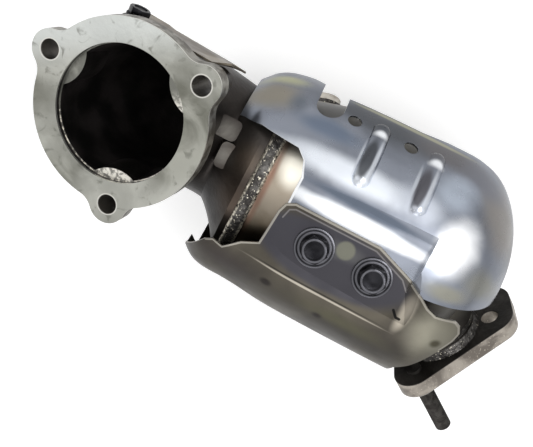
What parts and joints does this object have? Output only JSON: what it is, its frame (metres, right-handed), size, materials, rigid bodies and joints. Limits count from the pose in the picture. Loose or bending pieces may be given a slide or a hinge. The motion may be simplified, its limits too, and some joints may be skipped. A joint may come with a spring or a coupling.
{
  "type": "catalytic converter",
  "caption": "Close-coupled exhaust catalyst: cast elbow inlet, can with ceramic bricks, side outlet with flange, pressed heat shields.",
  "frame": {"origin": "centre of the inlet gasket face", "axes": "+X along the can towards the outlet, +Z to the side the inlet faces; the inlet face is tilted back from +Z by the flange tilt"},
  "size_m": [0.3128, 0.1636, 0.1437],
  "materials": {
    "casting": "as-cast, heat stained, machined gasket face",
    "weld": "rough weld bead with heat tint",
    "cone": "pressed stainless sheet with straw heat tint",
    "shell": "rolled stainless sheet",
    "brick": "fired honeycomb, matte",
    "mat": "fibre mat",
    "plate": "cut steel plate, mottled",
    "stud": "dark threaded steel",
    "shield": "bright pressed sheet with faint wrinkles",
    "lower_shield": "bright pressed sheet with olive heat tint",
    "small_shield": "brownish brushed sheet",
    "bolt": "black oxide",
    "washer": "plain steel",
    "boss": "turned steel"
  },
  "bodies": {
    "root": {"inlet_casting": "casting", "inlet_weld_bead": "weld", "inlet_cone": "cone", "can_front_weld": "weld", "can_shell": "shell", "front_substrate": "brick", "rear_substrate": "brick", "front_support_mat": "mat", "rear_support_mat": "mat", "outlet_cone": "cone", "can_rear_weld": "weld", "outlet_pipe": "shell", "collar_weld": "weld", "outlet_flange": "plate", "outlet_flange_weld": "weld", "outlet_stud": "stud", "front_heat_shield": "shield", "lower_heat_shield": "lower_shield", "inlet_heat_shield": "small_shield", "sensor_boss": "boss", "sensor_boss_weld": "weld", "front_shield_boss": "boss", "rear_shield_boss": "boss", "front_shield_bolt": "bolt", "rear_shield_bolt": "bolt", "front_shield_washer": "washer", "rear_shield_washer": "washer", "inlet_shield_bolt": "bolt", "inlet_shield_washer": "washer", "back_bracket": "boss"}
  },
  "joints": []
}
